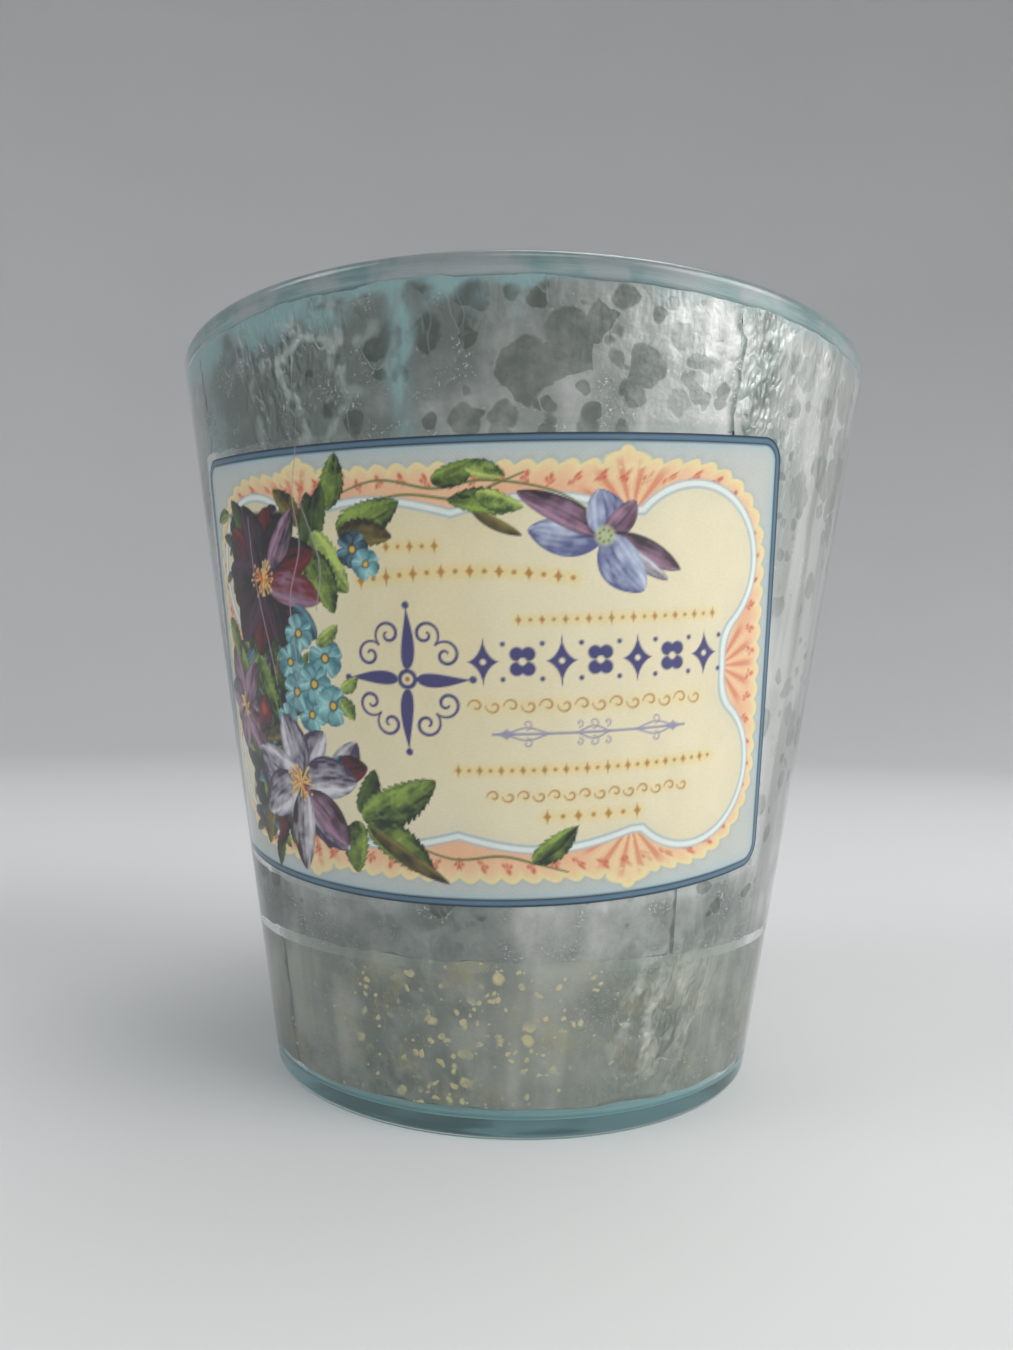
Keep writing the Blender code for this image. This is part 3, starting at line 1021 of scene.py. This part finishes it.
def leaf_material(name, light, shade, gleam, spot=None):
    """Silver leaf. Its colour layer says where it is spotted, crazed and bare, and how tarnished it
    is, with painted light and shade for what it reflects.

    Leaf without a colour for its dark spots has a patina and gold flecks in their place.
    """
    s = Shader(name)
    zones = s.add("VertexColor", {"layer_name": "Print"})
    spotted, crazed, bare = s.add("SeparateColor", Color=zones.outputs["Color"]).outputs[:3]
    tarnish_and_painted_light = zones.outputs["Alpha"]
    place = s.place()
    wavy = s.bent(place, place, size=2.6, reach=1.9, detail=2.0)

    patches = s.noise(place, size=5.0, detail=4.0, rough=0.62)
    # Upright darker bands: painted reflection of the room in the round wall.
    painted_reflection_bands = s.step(s.noise(s.place((1, 1, 0.05)), size=5.0, detail=2.0), 0.42, 0.62)
    # Ground from light to shade by tarnish and by painted light and shade.
    dull_and_shaded = s.plus(s.times(tarnish_and_painted_light, 1.25), s.minus(patches, 0.72))
    ground = s.blend(s.step(dull_and_shaded, -0.15, 0.75), light, shade)
    ground = s.blend(s.times(painted_reflection_bands, 0.45), ground, shade)

    large = s.spots(wavy, 4.8, 0, 0.30, s.times(spotted, 0.60), (-0.03, 0.06))
    small = s.spots(wavy, 2.8, 1, -0.10, s.times(spotted, 0.66), (-0.03, 0.06))
    spots = s.math("MAXIMUM", large, small)
    speckle = s.step(s.noise(place, size=0.42, detail=3.0, rough=0.75), 0.56, 0.66)
    bright = s.times(s.times(speckle, s.step(patches, 0.50, 0.62)), s.minus(1.0, spots))
    cracks = crackle(s, place, crazed)

    if spot is None:
        colour = gilded(s, ground, place, wavy, patches, spotted)
        colour = s.blend(s.times(bright, 0.35), colour, gleam)
        colour = s.blend(s.times(cracks, 0.6), colour, gleam)
    else:
        colour = stained(s, ground, spots, patches, tarnish_and_painted_light, spot)
        colour = s.blend(s.times(bright, 0.7), colour, gleam)
        colour = s.blend(s.times(cracks, 0.80), colour, tone(194, 202, 197))

    fine = s.noise(place, size=1.1, detail=4.0, rough=0.6)
    folds = s.noise(s.place((1, 1, 0.5)), size=2.2, detail=2.0, rough=0.5)
    folds = s.math("ABSOLUTE", s.minus(folds, 0.5))
    height = s.plus(s.plus(fine, s.times(folds, s.times(crazed, 18.0))), s.times(cracks, 0.8))
    if spot is not None:
        height = s.minus(height, s.times(spots, 0.2))
    silver = s.add(
        "BsdfPrincipled",
        Base_Color=s.blend(bare, colour, tone(136, 164, 166)),
        Metallic=s.times(s.minus(1.0, bare), 0.62),
        Roughness=s.plus(s.times(patches, 0.3), 0.24),
        Normal=s.bump(height, 0.5, 0.00014),
    )
    return s.finish(silver)


def paint_material():
    """Brushed matt aqua paint, milky on the lip, with painted light in the well's corner: a lighter
    aqua there and a faint painted glow under the floor.
    """
    s = Shader("brushed_aqua_paint")
    streaks = s.noise(s.flat((0.06, 1, 1)), size=0.7, detail=3.0, rough=0.6)
    patches = s.noise(s.place(), size=11.0, detail=2.0)
    height = s.height()
    floor, top = BASE_THICKNESS / MM, LEAF_TOP / MM
    colour = s.blend(s.step(streaks, 0.3, 0.7), tone(110, 134, 136), tone(146, 166, 165))
    colour = s.blend(s.times(s.step(patches, 0.45, 0.7), 0.5), colour, tone(88, 124, 130))
    milky = s.times(s.step(height, top, top + 1.0), 0.8)
    milky = s.times(milky, s.step(s.noise(s.place(), size=7.0, detail=3.0), 0.40, 0.58))
    colour = s.blend(milky, colour, tone(158, 160, 164))
    # Painted light: a lighter aqua in the well's corner, for the light that the glass base carries
    # there.
    painted_corner_light = s.step(height, STRIP_BOTTOM / MM + 0.8, floor + 0.4)
    colour = s.blend(painted_corner_light, colour, tone(110, 148, 152))
    # Painted glow under the floor: the base traps light and carries it under the paint, and rays
    # that pass unbent leave that out.
    painted_base_glow = s.blend(s.step(patches, 0.4, 0.6), tone(52, 66, 67), tone(76, 100, 103))
    paint = s.add(
        "BsdfPrincipled",
        Base_Color=colour,
        Roughness=s.plus(s.times(streaks, 0.2), 0.42),
        Normal=s.bump(streaks, 0.6, 0.00015),
        Emission_Color=s.blend(s.step(height, floor + 0.4, floor), tone(0, 0, 0), painted_base_glow),
        Emission_Strength=1.0,
    )
    return s.finish(paint)


def stage_material():
    """A plain pale sweep."""
    s = Shader("pale_sweep")
    drift = s.noise(s.place(), 420.0, 2.0)
    colour = s.blend(drift, tone(206, 207, 208), tone(212, 213, 213))
    return s.finish(s.add("BsdfPrincipled", Base_Color=colour, Roughness=0.7))


# ---------------------------------------------------------------- the jar's pieces

# Depths behind the inner face of the glass. Glue, size and paint wet the glass and leave no
# air, so a film that touches it starts a hair inside it, at the depth WET.
WET = -0.00002
LABEL_THICKNESS = 0.00012
LEAF_OVER_LABEL = 0.00013
LEAF_TUCK = 0.00006
LEAF_THICKNESS = 0.00004
PAINT_DEPTH = 0.00032
PAINT_THICKNESS = 0.00050
PAINT_LIP = 0.00014
LIP_REACH = math.radians(50)
LIP_PARTS = (0.35, 0.7, 1.0)
LIP_CENTRE = (outer_radius(HEIGHT - WALL / 2) - WALL / 2 / math.cos(TAPER), HEIGHT - WALL / 2)
LEAF_OVERLAP = 0.0032
STRIP_BOTTOM = BASE_THICKNESS + WELL_FILLET + 0.0005
STRIP_TUCK = 0.0010
LEAF_CELL = 0.0006


def arc(centre, radius, start, end, steps):
    """Points of a round corner in the (radius, height) plane, both ends included."""
    turns = np.linspace(start, end, steps + 1)
    return [away(centre, radius, turn) for turn in turns]


def well_corner(depth, steps):
    """Round corner between the well's floor and wall, from the floor outwards and up."""
    radius = max(WELL_FILLET - depth, WELL_FILLET / 4)
    level = BASE_THICKNESS + depth + radius
    centre = (inner_radius(level, depth) - radius / math.cos(TAPER), level)
    return arc(centre, radius, -math.pi / 2, -TAPER, steps)


def run_of(start, end, steps):
    """Points strictly between two ends of a straight run."""
    start, end = np.array(start), np.array(end)
    return [tuple(start + (end - start) * k / steps) for k in range(1, steps)]


def make_glass():
    """The tumbler: a smooth turned shell with the slightest waves in its outer wall."""
    heel_centre = (outer_radius(HEEL_RADIUS) - HEEL_RADIUS / math.cos(TAPER), HEEL_RADIUS)
    floor = well_corner(0.0, 8)
    lip = arc(LIP_CENTRE, WALL / 2, math.pi - TAPER, -TAPER, 20)
    heel = arc(heel_centre, HEEL_RADIUS, -TAPER, -math.pi / 2, 8)
    profile = run_of((0.0, BASE_THICKNESS), floor[0], 8) + floor
    profile += run_of(floor[-1], lip[0], 24) + lip
    profile += run_of(lip[-1], heel[0], 48) + heel
    profile += run_of(heel[-1], (0.0, 0.0), 8)

    def waved(radius, height):
        outer = smooth(outer_radius(height) - 0.0006, outer_radius(height), radius)
        upright, leaning = 3 * RING_ANGLES + 40 * height, 2 * RING_ANGLES + 1 + 25 * height
        wave = 0.5 + 0.5 * np.sin(upright) * np.sin(leaning)
        return radius - 0.00004 * outer * wave - 0.00001 * outer, height

    names = ("tumbler_glass", "glass_tumbler", "clear_glass")
    turned_piece(names, [waved(*spot) for spot in profile], glass_material())


def paint_outer_depth(height):
    """The coat lies on the leaf, and steps out to the bare glass above it and below it."""
    over_top = smooth(LEAF_TOP + LEAF_FRAY - 0.0004, LEAF_TOP + LEAF_FRAY + 0.0004, height)
    under = 1 - smooth(STRIP_BOTTOM, STRIP_BOTTOM + 0.0006, height)
    return PAINT_DEPTH + (WET - PAINT_DEPTH) * np.maximum(over_top, under)


def make_paint():
    """The aqua coat: a thin brushed cup that lines the well and is wiped off on the lip."""
    corner = well_corner(WET, 8)
    low, high = corner[-1][1], LIP_CENTRE[1]
    back = PAINT_DEPTH + PAINT_THICKNESS
    inner_corner = well_corner(back, 6)
    ragged = 0.16 * clouds(RING_ANGLES * 50, np.zeros(GLASS_STEPS), 9.0, 2)

    def brushed(height):
        """The inner face of the coat, which thins towards the lip."""
        thin = smooth(high - 0.003, high, height)
        level = np.full(GLASS_STEPS, height / MM * 1.3)
        brush = 0.00006 * clouds(RING_ANGLES * 8, level, 2.0, 4) * (1 - thin)
        return inner_radius(height, back + (PAINT_LIP - back) * thin) + brush, height

    def on_lip(part, rise):
        """Part of the way over the lip's round, raised off the glass."""
        turn = math.pi - TAPER - (LIP_REACH + ragged) * part
        radius = WALL / 2 + rise
        return LIP_CENTRE[0] + radius * np.cos(turn), LIP_CENTRE[1] + radius * np.sin(turn)

    wall = [*np.linspace(low, LEAF_TOP, 60)[1:], *np.linspace(LEAF_TOP + 0.0002, high, 14)]
    profile = run_of((0.0, BASE_THICKNESS + back), inner_corner[0], 12) + inner_corner
    profile += [brushed(height) for height in np.linspace(inner_corner[-1][1], high, 90)[1:]]
    profile += [on_lip(p, PAINT_LIP + (WET - PAINT_LIP) * 0.5 * p) for p in LIP_PARTS]
    profile += [on_lip(p, WET) for p in reversed(LIP_PARTS)]
    profile += [(inner_radius(h, paint_outer_depth(h)), h) for h in reversed(wall)]
    profile += corner[-2::-1]
    profile += run_of(corner[0], (0.0, BASE_THICKNESS + WET), 12)
    turned_piece(("aqua_lining", "backing_paint", "aqua_paint"), profile, paint_material())


def make_label():
    """The printed label on the inner wall."""
    picture = make_picture()
    turn, height = label_place(picture.x, picture.y)
    front = on_wall(turn, height, WET)
    colour = np.concatenate([np.clip(picture.colour, 0, 1), picture.hatch[..., None]], -1)
    flat = np.stack([picture.x, picture.y], -1)
    names = ("printed_label", "label_sheet", "printed_paper")
    sheet_piece(names, front, LABEL_THICKNESS, paper_material(), colour, flat)


def bump_at(x, y, middle, size):
    """A soft patch round a place, 1 at its middle, in the flat map's millimetres."""
    return np.exp(-(((x - middle[0]) / size[0]) ** 2) - ((y - middle[1]) / size[1]) ** 2)


def leaf_zones(degrees, height, whole):
    """How spotted, crazed and bare leaf is, and how tarnished it is with painted light and shade,
    by angle in degrees and height in mm.
    """

    def near(middle, size):
        return bump_at(degrees, height, middle, size)

    rough = clouds(degrees * 0.8, height, 14.0, 9)

    # Spots on the sheets, fewest at the upper left, and flecks low on the strips.
    upper = smooth(24, 32, height)
    spotted = 0.68 + 0.5 * rough + 0.40 * near((13, 96), (17, 12))
    spotted = spotted - 0.75 * near((-34, 95), (19, 16))
    flecked = 0.0 if whole else 0.30 + 0.9 * near((2, 14), (24, 14))
    spotted = spotted * upper + flecked * (1 - upper)

    # Crackle at the upper left, at the torn seam and low on the right.
    crazed = 0.25 * smooth(0.05, 0.4, rough)
    for middle, size in (((-24, 95), (11, 13)), ((45.4, 96), (4.2, 14)), ((41, 15), (12, 10))):
        crazed = crazed + near(middle, size)

    # Paint shows in a ragged upright streak, along the top edge and in patches on the left.
    streak_middle = -6.7 + 0.5 * np.sin(height * 0.6)
    ragged = 0.6 + 0.5 * cloud(degrees * 3, height * 2, 2.0, 3)
    bare = 1.5 * bump_at(degrees - streak_middle, height, (0, 96), (1.6, 12)) * ragged
    edge = height + 1.2 * clouds(degrees, np.zeros_like(degrees), 5.0, 4)
    bare = bare + smooth(101.6, 102.4, edge) * (0.9 - 0.6 * smooth(15, 30, degrees))
    patches = smooth(0.05, 0.30, clouds(degrees, height, 9.0, 6)) * (1 - smooth(0, 20, degrees))
    bare = bare + 0.9 * smooth(97.5, 100.5, edge) * patches
    bare = bare + 0.8 * near((-47, 88), (6, 7)) * ragged

    # Tarnish along the joint and at the seam. Darker at the upper left and lighter to the right:
    # partly tarnish, partly painted reflection of dark and bright surroundings.
    tarnish_and_painted_light = 0.40 + 0.6 * rough + (0.12 if whole else 0.0) * (1 - smooth(27, 35, height))
    for more, middle, size in (
        (0.55, (-34, 95), (22, 20)),
        (-0.45, (35, 96), (9, 12)),
        (-0.90, (66, 90), (18, 40)),
        (0.55, (45, 97), (5, 9)),
    ):
        tarnish_and_painted_light = tarnish_and_painted_light + more * near(middle, size)
    return np.clip(np.stack([spotted, crazed, bare, tarnish_and_painted_light], -1), 0, 1)


def wrapped(turn):
    """The same angle from minus to plus half a turn."""
    return (turn + math.pi) % FULL_TURN - math.pi


def make_leaf_sheet(names, start, end, bottom, top, material, layer):
    """One sheet of leaf, torn at its end, tucked behind its neighbour at its start."""
    reach = inner_radius((bottom + top) / 2)
    start = start - LEAF_OVERLAP / reach
    width, tall = (end - start) * reach, top - bottom
    columns = BACK_STEP * round(width / LEAF_CELL / BACK_STEP) + 1
    rows = BACK_STEP * max(2, round(tall / LEAF_CELL / BACK_STEP)) + 1
    across, up = np.meshgrid(np.linspace(0, 1, columns), np.linspace(0, 1, rows))
    level = np.zeros_like(up)
    torn = 0.0011 / reach * clouds(up * tall / MM, level, 2.6, layer)
    turn = start + (end - start) * across + torn * across**6
    torn = 0.0005 * clouds(turn * reach / MM, level, 3.0, layer + 3)
    height = bottom + tall * up + torn * (up**8 - (1 - up) ** 8)

    zones = leaf_zones(np.degrees(wrapped(turn)), height / MM, top > LEAF_TOP)
    seam = smooth(0.9, 0.2, (1 - across) * width / MM)
    for zone in (0, 3):
        zones[..., zone] = np.maximum(zones[..., zone], seam)

    tucked = 1 - smooth(0, 1.5 * LEAF_OVERLAP, (turn - start) * reach)
    if top < LEAF_TOP:
        under_joint = smooth(LEAF_JOINT - 2 * STRIP_TUCK, LEAF_JOINT - STRIP_TUCK / 2, height)
        tucked = np.maximum(tucked, under_joint)
    x, y = label_flat(wrapped(turn), height)
    off_label = np.maximum(np.abs(x) - LABEL_WIDTH / 2, np.abs(y) - LABEL_HEIGHT / 2)
    behind = 1 - smooth(0.1, 0.9, off_label)
    depth = WET + (LEAF_OVER_LABEL - WET) * behind + LEAF_TUCK * tucked * (1 - behind)
    flat = np.stack([turn * reach, height], -1) / MM
    sheet_piece(names, on_wall(turn, height, depth), LEAF_THICKNESS, material, zones, flat)


def make_leaf():
    """All the leaf: whole sheets in the upper row and strips in the lower one."""
    upper = leaf_material(
        "silver_leaf_sheet",
        light=tone(206, 204, 202),
        shade=tone(119, 125, 121),
        gleam=tone(230, 229, 230),
        spot=tone(92, 98, 92),
    )
    lower = leaf_material(
        "dull_leaf_strip",
        light=tone(180, 181, 172),
        shade=tone(122, 128, 121),
        gleam=tone(214, 214, 202),
    )
    sheets = (LEAF_JOINT, LEAF_TOP + LEAF_FRAY, upper)
    strips = (STRIP_BOTTOM, LEAF_JOINT + STRIP_TUCK, lower)
    # Names, how many, the first seam in degrees, bottom, top, material and first noise layer.
    rows = (
        ("silver_sheet", "leaf_sheet", "silver_leaf", 4, 41, *sheets, 0),
        ("silver_strip", "leaf_strip", "tarnished_leaf", 3, 75, *strips, 7),
    )
    for name, node_name, slot_name, count, first_seam, bottom, top, material, layer in rows:
        for number in range(count):
            start = math.radians(first_seam) + number * FULL_TURN / count
            names = (f"{name}_{number + 1}", f"{node_name}_{number + 1}", slot_name)
            end = start + FULL_TURN / count
            make_leaf_sheet(names, start, end, bottom, top, material, number + layer)


# ---------------------------------------------------------------- stage, light and camera

FLOOR_GAP = 0.0002
LIGHT_FADE = 0.40
LIGHT_GAIN = 2.6
CAMERA_TURN = math.radians(10.3)
CAMERA_DISTANCE = 1.4713 * HEIGHT
CAMERA_HEIGHT = 0.5244 * HEIGHT
CAMERA_ASIDE = -0.0163 * HEIGHT
CAMERA_PITCH = math.radians(1.54)
CAMERA_ROLL = math.radians(1.01)
FOCAL_LENGTH = 24.96
SENSOR = 36.0
# A flat floor, a quarter round and an upright wall.
FLOOR_RADIUS = 0.8
SWEEP_RADIUS = 1.0
STAGE_HEIGHT = 2.6
STAGE_STEPS = 96
# Name, angle from the front in degrees, height, distance, panel size, power and colour.
LIGHTS = (
    ("key", 74, 0.62, 0.95, (1.3, 1.0), 10.2, (1.0, 0.99, 0.975)),
    ("wash", 16, 1.15, 0.95, (0.9, 0.7), 2.4, (1.0, 1.0, 1.0)),
    ("fill", -62, 0.80, 0.90, (0.8, 0.8), 3.0, (0.94, 0.97, 1.0)),
    ("top", 140, 1.15, 0.30, (0.9, 0.9), 3.6, (1.0, 1.0, 1.0)),
)
ROOM_COLOUR = (0.86, 0.88, 0.90, 1.0)
ROOM_LIGHT = 0.50


def make_stage():
    """A pale floor that sweeps up into a round wall far off."""
    count = STAGE_STEPS
    centre = (FLOOR_RADIUS, SWEEP_RADIUS - FLOOR_GAP)
    profile = arc(centre, SWEEP_RADIUS, -math.pi / 2, 0.0, 24)
    profile += [(FLOOR_RADIUS + SWEEP_RADIUS, STAGE_HEIGHT)]
    points = [(0.0, 0.0, 0.0)]
    for radius, height in profile:
        for number in range(count):
            points.append((*away((0.0, 0.0), radius, number * FULL_TURN / count), height))
    faces = [(0, 1 + k, 1 + (k + 1) % count) for k in range(count)]
    for ring in range(len(profile) - 1):
        low, high = 1 + ring * count, 1 + (ring + 1) * count
        for k in range(count):
            faces.append((low + k, high + k, high + (k + 1) % count, low + (k + 1) % count))
    mesh = bpy.data.meshes.new("studio_sweep")
    mesh.from_pydata(points, [], faces)
    mesh.materials.append(stage_material())
    mesh.shade_smooth()
    sweep = bpy.data.objects.new("studio_sweep", mesh)
    bpy.context.scene.collection.objects.link(sweep)


def fade_edges(lamp):
    """Fade a light's panel towards its sides, so that its reflection has no hard edge."""
    lamp.use_nodes = True
    nodes = Nodes(lamp.node_tree)
    across_and_up = nodes.add("NewGeometry").outputs["Parametric"]
    strength = LIGHT_GAIN
    for share in nodes.add("SeparateXYZ", Vector=across_and_up).outputs[:2]:
        nearest = nodes.math("MINIMUM", share, nodes.minus(1.0, share))
        strength = nodes.times(strength, nodes.step(nearest, 0.0, LIGHT_FADE))
    nodes.put(lamp.node_tree.nodes["Emission"].inputs["Strength"], strength)


def make_light(name, turn, height, distance, size, power, colour):
    """A soft light that looks at the jar."""
    lamp = bpy.data.lights.new(name, "AREA")
    lamp.shape = "RECTANGLE"
    lamp.size, lamp.size_y = size
    lamp.energy = power
    lamp.color = colour
    fade_edges(lamp)
    thing = bpy.data.objects.new(name, lamp)
    angle = math.radians(turn)
    thing.location = (distance * math.sin(angle), -distance * math.cos(angle), height)
    aim = Vector((0, 0, HEIGHT / 2)) - thing.location
    thing.rotation_euler = aim.to_track_quat("-Z", "Y").to_euler()
    bpy.context.scene.collection.objects.link(thing)


def make_lights():
    """Soft studio light: a key from the front right, a fill, a top light and a pale room."""
    for light in LIGHTS:
        make_light(*light)
    world = bpy.data.worlds.new("studio")
    bpy.context.scene.world = world
    world.use_nodes = True
    background = world.node_tree.nodes["Background"]
    background.inputs["Color"].default_value = ROOM_COLOUR
    background.inputs["Strength"].default_value = ROOM_LIGHT


def make_camera():
    """The camera: close to the jar, near its middle height, a little to the label's right."""
    lens = bpy.data.cameras.new("camera")
    lens.sensor_fit = "VERTICAL"
    lens.sensor_height = SENSOR
    lens.lens = FOCAL_LENGTH
    lens.clip_start = 0.005
    thing = bpy.data.objects.new("camera", lens)
    outward = Vector((math.sin(CAMERA_TURN), -math.cos(CAMERA_TURN), 0.0))
    sideways = Vector((math.cos(CAMERA_TURN), math.sin(CAMERA_TURN), 0.0))
    place = outward * CAMERA_DISTANCE + sideways * CAMERA_ASIDE
    place.z = CAMERA_HEIGHT
    forward = -outward * math.cos(CAMERA_PITCH) + Vector((0, 0, math.sin(CAMERA_PITCH)))
    level_up = sideways.cross(forward)
    right = sideways * math.cos(CAMERA_ROLL) + level_up * math.sin(CAMERA_ROLL)
    up = level_up * math.cos(CAMERA_ROLL) - sideways * math.sin(CAMERA_ROLL)
    axes = Matrix((right, up, -forward)).transposed().to_4x4()
    thing.matrix_world = Matrix.Translation(place) @ axes
    bpy.context.scene.collection.objects.link(thing)
    bpy.context.scene.camera = thing


make_camera()
make_stage()
make_lights()
make_glass()
make_paint()
make_label()
make_leaf()
bpy.context.scene.view_settings.view_transform = "Standard"
